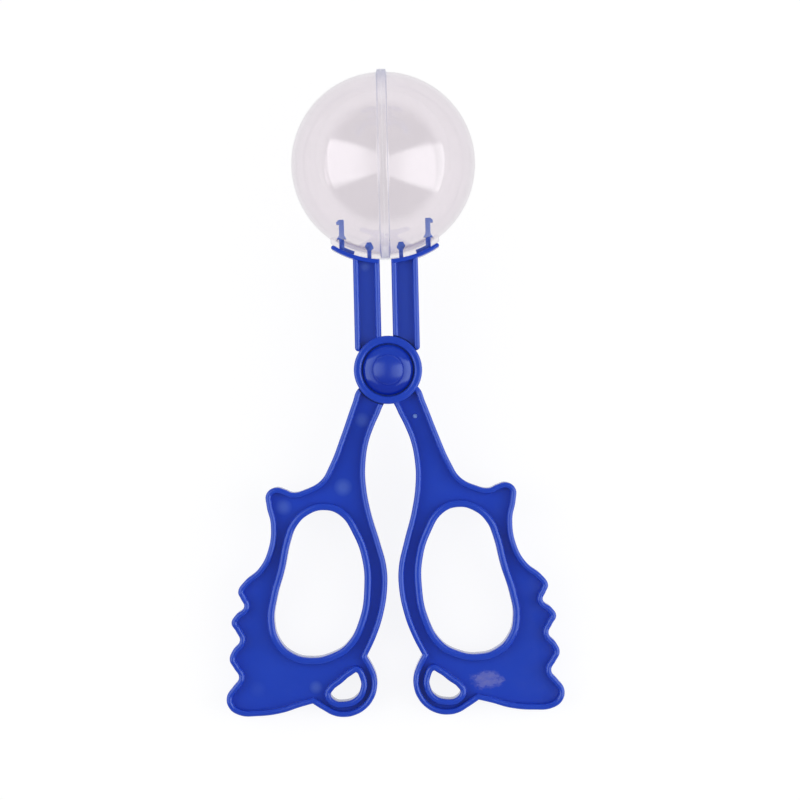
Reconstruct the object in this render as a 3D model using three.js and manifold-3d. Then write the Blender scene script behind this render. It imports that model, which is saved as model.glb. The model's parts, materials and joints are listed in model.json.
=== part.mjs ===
// Insect catcher tongs: two ribbed scissor arms on a snap pin, each arm carrying one half of a clear ball.
// All sizes are millimetres. The tongs are drawn flat, with the pivot at the origin, the ball towards +Y and
// the pivot axis along +Z. At the end they are laid on a table, on the ball's rims and the handle ends.

import * as THREE from 'three';
import { mergeVertices } from 'three/addons/utils/BufferGeometryUtils.js';
import Module from 'manifold-3d';

// Ribbed arms: a web with raised rims on both faces
const ARM_THICKNESS = 9;
const WEB_THICKNESS = 2.2;
const RIM_WIDTH = 1.9;
const FINGER_RIM = 2.4;
const LOOP_RIM = 2.1;

// Jaws: the straight upper half of each arm
const JAW_WIDTH = 9.1;
const JAW_GAP = 3.9;
const JAW_FOOT = 6.5;
const JAW_FOOT_ROUND = 1.2;

// Hub: each arm is halved here, so that the two discs lap
const HUB_RADIUS = 11.6;
const HUB_RING = 2.6;
const HUB_RISE = 0.5;
const HUB_FLOOR = 2;
const LAP_GAP = 0.4;
const SWING_GAP = 0.4;

// Snap pin, sunk in the hub's ring; its head has a rounded shoulder and a domed button on it
const PIN_RADIUS = 4;
const PIN_GAP = 0.3;
const HEAD_GAP = 0.45;
const HEAD_EDGE = 1.2;
const SHOULDER_RISE = 1.5;
const SHOULDER_ROUND = 1.15;
const BUTTON_RADIUS = 5.2;
const BUTTON_RISE = 1.5;
const BARB_CATCH = 0.6;
const BARB_LAND = 0.6;
const BARB_TAPER = 1.4;
const PIN_SLOT = 1.7;

// Clear half balls, each with a rim flange and a base pad
const PIVOT_TO_BALL = 70.1;
const BALL_RADIUS = 31.3;
const SHELL_WALL = 1.2;
const FLANGE_REACH = 1;
const FLANGE_THICKNESS = 1.6;
const SPLIT_GAP = 0.3;
const PAD_REACH = 18.4;
const PAD_DEPTH = 10;

// Cradles under the half balls, moulded with the jaws
const SEAT_GAP = 0.3;
const CRADLE_THICKNESS = 1.4;
const CRADLE_REACH = 18.2;
const CRADLE_DEPTH = 10.6;

// Snap hooks that stand on a cradle and reach through the window in a base pad
const HOOK_DEPTH = 4.2;
const WINDOW_GAP = 0.35;
const POST_AT = 14.7;
const POST_WIDTH = 1.7;
const POST_NECK = 3.8;
const COLLAR_CATCH = 0.8;
const COLLAR_HEIGHT = 1.4;
const STEM_HEIGHT = 5.2;
const TIP_REACH = 0.9;
const TIP_HEIGHT = 1.6;
const TIP_SLOPE = 0.8;
const FOOT_LENGTH = 4;
const FOOT_HEIGHT = 1.3;
const HOOK_AT = 5.4;
const HOOK_WIDTH = 1.4;
const HOOK_CATCH = 0.85;
const HOOK_HEAD = 2.7;
const INNER_BARB = 0.9;
const OUTER_BARB = 1.35;
const RAIL_RISE = 1.3;
const RAIL_WIDTH = 1.3;

// Handles: reach of the tails from the middle line, and drop of the lower end below the pivot
const HANDLE_REACH = 57.2;
const HANDLE_DROP = 117.4;

// Right handle seen from the front, drawn as points that are fitted to those two sizes.
// The inner edge runs from the hub down to the loop.
const INNER_EDGE = [
  [1.2, -8.5], [2.7, -13.6], [5.2, -19], [7.2, -24.5], [8.4, -31.5], [8.5, -38], [7, -48],
  [4.1, -58.5], [2.1, -67], [2, -74], [3.6, -83], [6, -90], [9.4, -97],
];

// The outer edge runs from the loop along the tail, up the finger waves and the horn, and back to the hub
const OUTER_EDGE = [
  [28.2, -112.6], [32.5, -113.7], [38.5, -115.5], [46.5, -116.4], [53.5, -115.8], [56.7, -113.2],
  [57.2, -109.4], [55.1, -106.3], [53, -103.2], [54.6, -100], [56, -97.1], [54.9, -93.9], [52.4, -90.6],
  [53.6, -87.6], [55.1, -84.6], [53.6, -81.9], [50.7, -79.2], [51.7, -76.6], [52.6, -74.1], [50.4, -70.6],
  [45.6, -66.6], [42.2, -60.5], [41, -51.5], [42.3, -45], [42.2, -41], [39.2, -39], [36, -39.7],
  [33.3, -40.8], [29, -39.9], [23.7, -37], [20.6, -32], [16.2, -21.3], [12.3, -10.8], [10.4, -6.3], [6.5, -4],
];

// Loop for a lanyard at the inner end of the handle, and the D-shaped hole in it
const LOOP_CENTRE = [17.5, -106];
const LOOP_RADIUS = 11.4;
const LANYARD_HOLE = [
  [13.3, -102.3], [11.9, -104.7], [11.8, -107.7], [13.4, -110.6], [17.4, -112.1], [20.9, -111.4],
  [22, -109.6], [21, -108], [18.1, -105.8], [15.2, -103.5],
];

// Finger hole
const FINGER_HOLE = [
  [22.7, -47.1], [17.6, -48.9], [13, -55.8], [10.2, -64.5], [9.8, -73.5], [11.6, -84.2], [16.2, -92.6],
  [22, -96], [28, -97], [34.2, -95.5], [38.8, -91], [40.5, -84.5], [39.4, -76.5], [36.6, -67], [34.4, -57.5],
  [32.4, -52.6], [28.3, -48.6],
];

// Fineness of the facets
const STEPS_PER_SPAN = 3;
const ROUND_SIDES = 48;
const PIN_SIDES = 32;
const BALL_STEPS = 10;
const ARC_STEPS = 20;
const CORNER_STEPS = 4;

// Sizes that follow from those above
const HALF_ARM = ARM_THICKNESS / 2;
const HALF_WEB = WEB_THICKNESS / 2;
const HALF_LAP = LAP_GAP / 2;
const JAW_INNER = JAW_GAP / 2;
const JAW_OUTER = JAW_INNER + JAW_WIDTH;
const HUB_FACE = HALF_ARM + HUB_RISE;
const RECESS_FLOOR = HALF_LAP + HUB_FLOOR;
const RECESS_RADIUS = HUB_RADIUS - HUB_RING;
const RIM_RADIUS = BALL_RADIUS + FLANGE_REACH;
const CRADLE_INNER = RIM_RADIUS + SEAT_GAP;
const CRADLE_OUTER = CRADLE_INNER + CRADLE_THICKNESS;
const CRADLE_MIDDLE = CRADLE_INNER + CRADLE_THICKNESS / 2;
const INNER_RADIUS = BALL_RADIUS - SHELL_WALL;
const OVERSHOOT = 1;

const wasm = await Module();
wasm.setup();

// Turns a closed geometry into a solid that can be joined and cut.
function solid(geometry) {
  const bare = geometry.clone();
  bare.deleteAttribute('normal');
  bare.deleteAttribute('uv');
  const merged = mergeVertices(bare);
  const corners = merged.index.array;
  const triangles = [];
  for (let i = 0; i < corners.length; i += 3) {
    const [a, b, c] = corners.slice(i, i + 3);
    if (a !== b && b !== c && c !== a) triangles.push(a, b, c);
  }
  const vertProperties = new Float32Array(merged.attributes.position.array);
  const triVerts = new Uint32Array(triangles);
  return new wasm.Manifold(new wasm.Mesh({ numProp: 3, vertProperties, triVerts }));
}

// Turns a finished solid back into a geometry.
function geometryOf(shape) {
  const mesh = shape.getMesh();
  const shared = new THREE.BufferGeometry();
  shared.setAttribute('position', new THREE.BufferAttribute(new Float32Array(mesh.vertProperties), 3));
  shared.setIndex(new THREE.BufferAttribute(new Uint32Array(mesh.triVerts), 1));
  shared.computeVertexNormals();
  return shared;
}

// A flat outline made solid between two heights.
function plate(outline, low, high) {
  const settings = { depth: high - low, bevelEnabled: false };
  return solid(new THREE.ExtrudeGeometry(new THREE.Shape(outline), settings).translate(0, 0, low));
}

// A round disc between two heights, about a centre in the flat drawing.
function disc(radius, low, high, x = 0, y = 0) {
  const cylinder = new THREE.CylinderGeometry(radius, radius, high - low, ROUND_SIDES);
  return solid(cylinder.rotateX(Math.PI / 2).translate(x, y, (low + high) / 2));
}

// A box given by its lowest and highest corners.
function block(low, high) {
  const size = high.map((value, axis) => value - low[axis]);
  const middle = high.map((value, axis) => (value + low[axis]) / 2);
  return solid(new THREE.BoxGeometry(...size).translate(...middle));
}

// Moves a drawn point of the handle to its place at the handle's main sizes.
function fitted([x, y]) {
  const across = HANDLE_REACH / Math.max(...OUTER_EDGE.map((point) => point[0]));
  const down = (HANDLE_DROP - LOOP_RADIUS) / -LOOP_CENTRE[1];
  return new THREE.Vector3(x * across, y * down, 0);
}

// A smooth line through drawn points of the handle.
function smooth(knots, closed = false) {
  const places = knots.map(fitted);
  const curve = new THREE.CatmullRomCurve3(places, closed, 'centripetal');
  const spans = closed ? knots.length : knots.length - 1;
  const points = curve.getPoints(spans * STEPS_PER_SPAN).map((place) => new THREE.Vector2(place.x, place.y));
  return closed ? points.slice(1) : points;
}

// Points along an arc, from one angle to another.
function arc(x, y, radius, from, to, steps) {
  return new THREE.EllipseCurve(x, y, radius, radius, from, to, to < from).getPoints(steps);
}

// A flat outline moved inwards by a distance, outwards if it is negative, and made solid between two heights.
function insetPlate(outline, distance, low, high) {
  const section = new wasm.CrossSection([outline.map(({ x, y }) => [x, y])], 'NonZero');
  return section.offset(-distance, 'Miter').extrude(high - low).translate([0, 0, low]);
}

// Height of a circle about the ball's centre below that centre, at a distance from the split.
function dropAt(radius, x) {
  return Math.sqrt(radius * radius - x * x);
}

// Angle about the ball's centre at which a circle of that radius lies a distance to the left of the split.
function angleAt(radius, x) {
  return -Math.PI / 2 - Math.asin(x / radius);
}

// Height of the jaw's outer edge above the pivot, where it runs into the cradle.
function jawTop() {
  return PIVOT_TO_BALL - dropAt(CRADLE_MIDDLE, JAW_OUTER);
}

// Outline of the left jaw, from the shoulder beside the hub up to the cradle.
function jawOutline() {
  const round = JAW_FOOT_ROUND;
  return [
    ...arc(round - JAW_OUTER, JAW_FOOT + round, round, Math.PI, 1.5 * Math.PI, CORNER_STEPS),
    new THREE.Vector2(-JAW_INNER, JAW_FOOT),
    new THREE.Vector2(-JAW_INNER, jawTop()),
    new THREE.Vector2(-JAW_OUTER, jawTop()),
  ];
}

// Outline of the right handle: inner edge, lanyard loop, tail, finger waves, horn and neck.
function handleOutline() {
  const { x, y } = fitted(LOOP_CENTRE);
  const inner = smooth(INNER_EDGE);
  const outer = smooth(OUTER_EDGE);
  const towards = (place) => Math.atan2(place.y - y, place.x - x);
  const loop = arc(x, y, LOOP_RADIUS, towards(inner.at(-1)), towards(outer[0]) + 2 * Math.PI, ARC_STEPS);
  return [...inner, ...loop.slice(1, -1), ...outer];
}

// The recess in one face of an arm, inside its rims.
function recess(handle, low, high) {
  const jaw = block([RIM_WIDTH - JAW_OUTER, JAW_FOOT, low], [-JAW_INNER - RIM_WIDTH, jawTop(), high]);
  const grip = insetPlate(handle, RIM_WIDTH, low, high);
  return jaw
    .subtract(disc(CRADLE_OUTER, low, high, 0, PIVOT_TO_BALL))
    .add(grip)
    .subtract(insetPlate(smooth(FINGER_HOLE, true), -FINGER_RIM, low, high))
    .subtract(insetPlate(smooth(LANYARD_HOLE, true), -LOOP_RIM, low, high));
}

// Arc plate under the left half ball, with a round tip.
function cradle() {
  const inside = arc(0, PIVOT_TO_BALL, CRADLE_INNER, angleAt(CRADLE_INNER, CRADLE_REACH),
    angleAt(CRADLE_INNER, JAW_INNER), ARC_STEPS);
  const outside = arc(0, PIVOT_TO_BALL, CRADLE_OUTER, angleAt(CRADLE_OUTER, JAW_INNER),
    angleAt(CRADLE_INNER, CRADLE_REACH), ARC_STEPS);
  const tipAngle = angleAt(CRADLE_INNER, CRADLE_REACH);
  const tipX = CRADLE_MIDDLE * Math.cos(tipAngle);
  const tipY = PIVOT_TO_BALL + CRADLE_MIDDLE * Math.sin(tipAngle);
  const tip = arc(tipX, tipY, CRADLE_THICKNESS / 2, tipAngle, tipAngle - Math.PI, 2 * CORNER_STEPS);
  return plate([...inside, ...outside, ...tip.slice(1, -1)], -CRADLE_DEPTH / 2, CRADLE_DEPTH / 2);
}

// Underside of the outer post's collar, above the pivot.
function collarHeight() {
  return PIVOT_TO_BALL - dropAt(CRADLE_INNER, POST_AT) + POST_NECK;
}

// Outer post: foot on the cradle, two-sided collar, then a stem with an outward barb at its tip.
function outerPost() {
  const half = POST_WIDTH / 2;
  const collar = collarHeight();
  const top = collar + COLLAR_HEIGHT + STEM_HEIGHT;
  const root = PIVOT_TO_BALL - dropAt(CRADLE_MIDDLE, POST_AT - half);
  const outline = [
    [half, root], [half, collar], [half + COLLAR_CATCH, collar], [half, collar + COLLAR_HEIGHT], [half, top],
    [-half, top], [-half - TIP_REACH, top - TIP_SLOPE], [-half - TIP_REACH, top - TIP_HEIGHT],
    [-half, top - TIP_HEIGHT], [-half, collar + COLLAR_HEIGHT], [-half - COLLAR_CATCH, collar],
    [-half, collar], [-half, root],
  ];
  return plate(outline.map(([x, y]) => new THREE.Vector2(x - POST_AT, y)), -HOOK_DEPTH / 2, HOOK_DEPTH / 2);
}

// Thick foot beside the outer post, following the cradle.
function postFoot() {
  const from = angleAt(CRADLE_MIDDLE, POST_AT);
  const to = angleAt(CRADLE_MIDDLE, POST_AT - FOOT_LENGTH);
  const low = arc(0, PIVOT_TO_BALL, CRADLE_MIDDLE, from, to, CORNER_STEPS);
  const high = arc(0, PIVOT_TO_BALL, CRADLE_INNER - FOOT_HEIGHT, to, from, CORNER_STEPS);
  return plate([...low, ...high], -HOOK_DEPTH / 2, HOOK_DEPTH / 2);
}

// Inner hook: a short stem with an arrow head that catches the window's end nearest the split.
function innerHook() {
  const half = HOOK_WIDTH / 2;
  const root = PIVOT_TO_BALL - dropAt(CRADLE_MIDDLE, HOOK_AT - half);
  const under = PIVOT_TO_BALL - dropAt(INNER_RADIUS, HOOK_AT) + SEAT_GAP;
  const outline = [
    [half, root], [half, under], [half + HOOK_CATCH, under + INNER_BARB], [half, under + HOOK_HEAD],
    [-half, under + HOOK_HEAD], [-half - HOOK_CATCH, under + OUTER_BARB], [-half, under], [-half, root],
  ];
  return plate(outline.map(([x, y]) => new THREE.Vector2(x - HOOK_AT, y)), -HOOK_DEPTH / 2, HOOK_DEPTH / 2);
}

// One arm: left jaw, hub disc in the front half of the thickness, and right handle.
function armGeometry() {
  const handle = handleOutline();
  const past = HUB_FACE + OVERSHOOT;
  const jaw = plate(jawOutline(), -HALF_ARM, HALF_ARM)
    .subtract(disc(CRADLE_MIDDLE, -past, past, 0, PIVOT_TO_BALL));
  const arm = jaw
    .add(plate(handle, -HALF_ARM, HALF_ARM))
    .subtract(plate(smooth(FINGER_HOLE, true), -past, past))
    .subtract(plate(smooth(LANYARD_HOLE, true), -past, past))
    .subtract(recess(handle, HALF_WEB, past))
    .subtract(recess(handle, -past, -HALF_WEB))
    .subtract(disc(HUB_RADIUS + SWING_GAP, -past, HALF_LAP))
    .add(disc(HUB_RADIUS, HALF_LAP, HUB_FACE))
    .subtract(disc(RECESS_RADIUS, RECESS_FLOOR, past))
    .subtract(disc(PIN_RADIUS + PIN_GAP, -past, past))
    .add(cradle())
    .add(outerPost())
    .add(postFoot())
    .add(innerHook());
  return geometryOf(arm);
}

// Half ball with its flange as one solid of revolution, its pole to the left and its flat side on the split.
function halfBall(radius, rim, rimThickness) {
  const seam = Math.asin(rimThickness / radius);
  const profile = [
    ...arc(0, 0, radius, Math.PI / 2, seam, BALL_STEPS),
    new THREE.Vector2(rim, rimThickness),
    new THREE.Vector2(rim, 0),
    new THREE.Vector2(0, 0),
  ];
  profile[0].x = 0;
  const turned = new THREE.LatheGeometry(profile.reverse(), ROUND_SIDES);
  return solid(turned.rotateZ(Math.PI / 2).translate(-SPLIT_GAP / 2, PIVOT_TO_BALL, 0));
}

// The hollow of a half ball, which runs out past the split.
function hollow() {
  const profile = [
    ...arc(0, 0, INNER_RADIUS, Math.PI / 2, 0, BALL_STEPS),
    new THREE.Vector2(INNER_RADIUS, -OVERSHOOT),
    new THREE.Vector2(0, -OVERSHOOT),
  ];
  profile[0].x = 0;
  const turned = new THREE.LatheGeometry(profile.reverse(), ROUND_SIDES);
  return solid(turned.rotateZ(Math.PI / 2).translate(-SPLIT_GAP / 2, PIVOT_TO_BALL, 0));
}

// Base pad that fills the space between the half ball and its cradle.
function basePad() {
  const top = PIVOT_TO_BALL - dropAt(BALL_RADIUS - SHELL_WALL / 2, PAD_REACH);
  const under = arc(0, PIVOT_TO_BALL, RIM_RADIUS, angleAt(RIM_RADIUS, PAD_REACH),
    angleAt(RIM_RADIUS, SPLIT_GAP / 2), ARC_STEPS);
  const outline = [new THREE.Vector2(-PAD_REACH, top), ...under, new THREE.Vector2(-SPLIT_GAP / 2, top)];
  return plate(outline, -PAD_DEPTH / 2, PAD_DEPTH / 2);
}

// Window for the hooks, and the ledge that the outer post's collar catches.
function hookWindow() {
  const half = HOOK_DEPTH / 2 + WINDOW_GAP;
  const high = PIVOT_TO_BALL - INNER_RADIUS / 2;
  const low = PIVOT_TO_BALL - RIM_RADIUS - OVERSHOOT;
  const outer = -POST_AT - POST_WIDTH / 2 - WINDOW_GAP;
  const inner = -HOOK_AT + HOOK_WIDTH / 2 + WINDOW_GAP;
  const collarEnd = -POST_AT - POST_WIDTH / 2 - COLLAR_CATCH - WINDOW_GAP;
  const opening = block([outer, low, -half], [inner, high, half]);
  return opening.add(block([collarEnd, collarHeight() - SEAT_GAP, -half], [inner, high, half]));
}

// Rails inside the half ball, along both long sides of the window, from the inner hook to the outer post.
function windowRails() {
  const half = HOOK_DEPTH / 2 + WINDOW_GAP + RAIL_WIDTH;
  const radius = BALL_RADIUS - SHELL_WALL / 2;
  const top = INNER_RADIUS - RAIL_RISE;
  const low = arc(0, PIVOT_TO_BALL, radius, angleAt(radius, POST_AT), angleAt(radius, HOOK_AT), CORNER_STEPS);
  const high = arc(0, PIVOT_TO_BALL, top, angleAt(top, HOOK_AT), angleAt(top, POST_AT), CORNER_STEPS);
  return plate([...low, ...high], -half, half);
}

// One clear half ball.
function shellGeometry() {
  const shell = halfBall(BALL_RADIUS, RIM_RADIUS, FLANGE_THICKNESS)
    .add(basePad())
    .subtract(hollow())
    .add(windowRails())
    .subtract(hookWindow());
  return geometryOf(shell);
}

// Snap pin: stepped head in the front recess, round shank, and a split barb behind the rear hub.
function pinGeometry() {
  const head = RECESS_RADIUS - HEAD_GAP;
  const seat = RECESS_FLOOR + SEAT_GAP;
  const edge = seat + HEAD_EDGE;
  const step = edge + SHOULDER_RISE;
  const crown = step + BUTTON_RISE;
  const barb = PIN_RADIUS + PIN_GAP + BARB_CATCH;
  const shoulder = new THREE.Path().moveTo(head, edge);
  shoulder.quadraticCurveTo(head - SHOULDER_ROUND, step, BUTTON_RADIUS, step);
  const dome = (BUTTON_RADIUS ** 2 + BUTTON_RISE ** 2) / (2 * BUTTON_RISE);
  const slope = Math.acos(BUTTON_RADIUS / dome);
  const profile = [
    new THREE.Vector2(0, -seat - BARB_LAND - BARB_TAPER),
    new THREE.Vector2(PIN_RADIUS - BARB_CATCH, -seat - BARB_LAND - BARB_TAPER),
    new THREE.Vector2(barb, -seat - BARB_LAND),
    new THREE.Vector2(barb, -seat),
    new THREE.Vector2(PIN_RADIUS, -seat),
    new THREE.Vector2(PIN_RADIUS, seat),
    new THREE.Vector2(head, seat),
    ...shoulder.getPoints(CORNER_STEPS),
    ...arc(0, crown - dome, dome, slope, Math.PI / 2, CORNER_STEPS).slice(1),
  ];
  profile.at(-1).x = 0;
  const past = barb + OVERSHOOT;
  const slot = block([-PIN_SLOT / 2, -past, -crown], [PIN_SLOT / 2, past, 0]);
  const turned = solid(new THREE.LatheGeometry(profile, PIN_SIDES).rotateX(Math.PI / 2));
  return geometryOf(turned.subtract(slot));
}

// Glossy moulded plastic of the arms and the pin.
function bluePlastic() {
  return new THREE.MeshStandardMaterial({ color: 0x2444bd, roughness: 0.32, metalness: 0 });
}

// Clear polystyrene of the ball.
function clearPlastic() {
  return new THREE.MeshStandardMaterial({
    color: 0xe9e6ea, roughness: 0.08, metalness: 0, transparent: true, opacity: 0.3,
  });
}

function part(name, geometry, material) {
  const mesh = new THREE.Mesh(geometry, material);
  mesh.name = name;
  return mesh;
}

// Angle by which the tongs lean when the ball's rims and the back of the handle ends are on the table.
function restingLean() {
  const lowest = Math.min(...handleOutline().map((place) => place.y));
  const reach = PIVOT_TO_BALL - lowest;
  return Math.asin(RIM_RADIUS / Math.hypot(reach, HALF_ARM)) - Math.atan2(HALF_ARM, reach);
}

function assembly() {
  const arm = armGeometry();
  const shell = shellGeometry();
  const flat = new THREE.Group();
  const rear = new THREE.Group();
  rear.rotation.y = Math.PI;
  rear.add(part('rear_arm', arm, bluePlastic()));
  rear.add(part('right_shell', shell, clearPlastic()));
  flat.add(part('front_arm', arm, bluePlastic()));
  flat.add(part('left_shell', shell, clearPlastic()));
  flat.add(part('pivot_pin', pinGeometry(), bluePlastic()));
  flat.add(rear);
  flat.rotation.x = restingLean();
  const tongs = new THREE.Group();
  tongs.add(flat);
  const box = new THREE.Box3().setFromObject(tongs, true);
  const middle = box.getCenter(new THREE.Vector3());
  flat.position.set(-middle.x, -middle.y, -box.min.z);
  return tongs;
}

export default assembly();
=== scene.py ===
# %% [markdown]
# # Insect catcher tongs
# Two blue moulded arms cross at a hub, as scissors do, and each jaw carries one half of a clear ball.
# The measured solids are loaded as a fixed frame. This lesson then models what the eye sees on that frame:
# ribbed arms with softly rounded rims, a snap pin with a stepped head, and two thin clear half balls.

# %% Load the measured frame
import json
import math

import bmesh
import bpy
from mathutils import Matrix, Vector


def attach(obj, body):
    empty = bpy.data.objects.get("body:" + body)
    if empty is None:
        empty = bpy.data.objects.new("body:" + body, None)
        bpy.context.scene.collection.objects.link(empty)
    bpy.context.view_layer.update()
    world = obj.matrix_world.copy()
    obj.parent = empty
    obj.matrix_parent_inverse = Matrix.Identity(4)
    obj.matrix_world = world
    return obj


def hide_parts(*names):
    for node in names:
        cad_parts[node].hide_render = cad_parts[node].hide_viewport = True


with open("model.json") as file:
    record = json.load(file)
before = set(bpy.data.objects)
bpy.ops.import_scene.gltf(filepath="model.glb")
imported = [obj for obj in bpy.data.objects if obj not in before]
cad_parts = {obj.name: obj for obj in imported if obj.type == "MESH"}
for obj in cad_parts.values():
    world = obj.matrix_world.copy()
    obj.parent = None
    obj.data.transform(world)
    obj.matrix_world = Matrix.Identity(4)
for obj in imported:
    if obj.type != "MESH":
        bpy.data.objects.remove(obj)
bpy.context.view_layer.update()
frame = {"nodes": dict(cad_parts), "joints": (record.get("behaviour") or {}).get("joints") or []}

bpy.ops.object.select_all(action="DESELECT")
print("CAD nodes:", ", ".join(sorted(frame["nodes"])))

# %% [markdown]
# ## From a flat drawing to the table
# The ball is thicker than the handles, so the tongs lean when they lie on a table. It is far easier to model each
# piece flat, with the pivot at the origin, the ball along +Y and the pivot axis along +Z. One function then lays a
# finished piece down. The hinge of the frame says where the pivot is and how far its axis leans, so nothing has to
# be measured twice.

# %% Place of the flat drawing
MM = 0.001
pivot = Vector(frame["joints"][0]["pos_m"])
pivot_axis = Vector(frame["joints"][0]["axis"])
lean = math.atan2(-pivot_axis.y, pivot_axis.z)
on_table = Matrix.Translation(pivot) @ Matrix.Rotation(lean, 4, "X")


def only(piece):
    """Leaves one piece selected and active."""
    bpy.ops.object.select_all(action="DESELECT")
    piece.select_set(True)
    bpy.context.view_layer.objects.active = piece
    return piece


def settle(piece):
    """Puts a piece's place, turn and scale into its mesh."""
    only(piece)
    bpy.ops.object.transform_apply(location=True, rotation=True, scale=True)
    return piece


def lay_on_table(piece):
    """Turns and moves a piece from the flat drawing to where it lies."""
    piece.matrix_world = on_table
    return settle(piece)


print("The tongs lean by", round(math.degrees(lean), 2), "degrees")

# %% [markdown]
# ## Camera
# The photograph looks straight along the pivot axis: the rims of the finger holes hide their own walls, and the
# cradles under the ball show only their edges. A long lens from almost a metre away keeps both ends of the tongs at
# one scale. The picture is 800 pixels square, the pivot is left of and above its middle, and the tongs are turned a
# little in it.

# %% Camera square to the tongs
IMAGE_PIXELS = 800
MM_PER_PIXEL = 0.3405
PIVOT_PIXEL = (388, 370)
PHOTO_TURN = math.radians(1.35)
CAMERA_DISTANCE = 0.95
NEAREST_SEEN = 0.01
SENSOR_WIDTH = 36

right_of_pivot = (IMAGE_PIXELS / 2 - PIVOT_PIXEL[0]) * MM_PER_PIXEL * MM
above_pivot = (PIVOT_PIXEL[1] - IMAGE_PIXELS / 2) * MM_PER_PIXEL * MM
photo_turn = Matrix.Rotation(-PHOTO_TURN, 4, "Z")
aim = photo_turn @ Vector((right_of_pivot, above_pivot, CAMERA_DISTANCE))

bpy.ops.object.camera_add()
camera = bpy.context.object
camera.name = "camera"
camera.matrix_world = on_table @ Matrix.Translation(aim) @ photo_turn
camera.data.sensor_width = SENSOR_WIDTH
camera.data.lens = SENSOR_WIDTH * CAMERA_DISTANCE / (IMAGE_PIXELS * MM_PER_PIXEL * MM)
camera.data.clip_start = NEAREST_SEEN
scene = bpy.context.scene
scene.camera = camera
scene.view_settings.view_transform = "Standard"
print("Lens in millimetres:", round(camera.data.lens, 1))

# %% [markdown]
# ## Two helpers for materials
# Colours are written as the hex values that a colour picker shows. A shader needs them as linear light, so one
# function converts them. A second one adds a node, sets it up and links it, which keeps each material readable.

# %% Colours and nodes
def colour(code):
    """Linear colour of an sRGB hex value such as 2A4AC2."""
    levels = [int(code[i:i + 2], 16) / 255 for i in (0, 2, 4)]
    return [v / 12.92 if v <= 0.04045 else ((v + 0.055) / 1.055) ** 2.4 for v in levels] + [1]


def add_node(tree, kind, inputs=None, **settings):
    """Adds a node; each input gets a value, or a link when it is given a socket."""
    node = tree.nodes.new(kind)
    for name, value in settings.items():
        setattr(node, name, value)
    for name, value in (inputs or {}).items():
        if isinstance(value, bpy.types.NodeSocket):
            tree.links.new(value, node.inputs[name])
        else:
            node.inputs[name].default_value = value
    return node


def new_material(name):
    """An empty material and its node tree."""
    material = bpy.data.materials.new(name)
    material.use_nodes = True
    material.node_tree.nodes.clear()
    return material, material.node_tree


print("Mid blue as linear light:", [round(v, 3) for v in colour("2A4AC2")])

# %% [markdown]
# ## Floor
# The tongs lie on a plain white table. Most of its white is given as light of its own, so it reads as paper white to
# the camera and a little less bright in reflections and through the clear ball. The rest is ordinary matt white that
# takes the shadow, which stays as faint as under large soft lamps.

# %% White table
TABLE_SIZE = 8
SHADOW_SHARE = 0.2
PAPER_WHITE = 1.1
MIRRORED_WHITE = 0.96

bpy.ops.mesh.primitive_plane_add(size=TABLE_SIZE)
floor = bpy.context.object
floor.name = "table"

table_white, tree = new_material("matt_white_table")
path = add_node(tree, "ShaderNodeLightPath")
seen = add_node(tree, "ShaderNodeMath", {0: path.outputs["Is Camera Ray"], 1: path.outputs["Is Glossy Ray"]},
                operation="MAXIMUM")
seen = add_node(tree, "ShaderNodeMath", {0: seen.outputs[0], 1: path.outputs["Is Transmission Ray"]},
                operation="MAXIMUM")
share = add_node(tree, "ShaderNodeMath", {0: seen.outputs[0], 1: 1 - SHADOW_SHARE}, operation="MULTIPLY")
matt = add_node(tree, "ShaderNodeBsdfDiffuse", {"Color": colour("F4F4F4")})
white = add_node(tree, "ShaderNodeMapRange", {"Value": path.outputs["Is Camera Ray"], "To Min": MIRRORED_WHITE,
                                              "To Max": PAPER_WHITE})
glow = add_node(tree, "ShaderNodeEmission", {"Color": colour("FFFFFF"), "Strength": white.outputs[0]})
mixed = add_node(tree, "ShaderNodeMixShader", {0: share.outputs[0], 1: matt.outputs[0], 2: glow.outputs[0]})
add_node(tree, "ShaderNodeOutputMaterial", {"Surface": mixed.outputs[0]})
floor.data.materials.append(table_white)
print("Table made, with", SHADOW_SHARE, "of its white left to the shadow")

# %% [markdown]
# ## Light
# The reflections in the ball show how the photograph was lit: one large softbox on each side, brightest and tallest
# towards its outer edge, with the right one wider. Halfway out to its edge the ball also mirrors where the pale
# backdrop, which sweeps up from the table, gives way to the darker room overhead. So flat blue faces that look up
# stay deep in colour, while the rims catch light from the sides.

# %% Softboxes
SOFTBOX_DISTANCE = 0.85
SOFTBOX_HEIGHT = 0.96
INNER_LEVEL = 0.62
FADE_SPAN = (0.05, 0.5)
FLARE = 0.235
END_SPAN = (0.18, 0.3)


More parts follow.
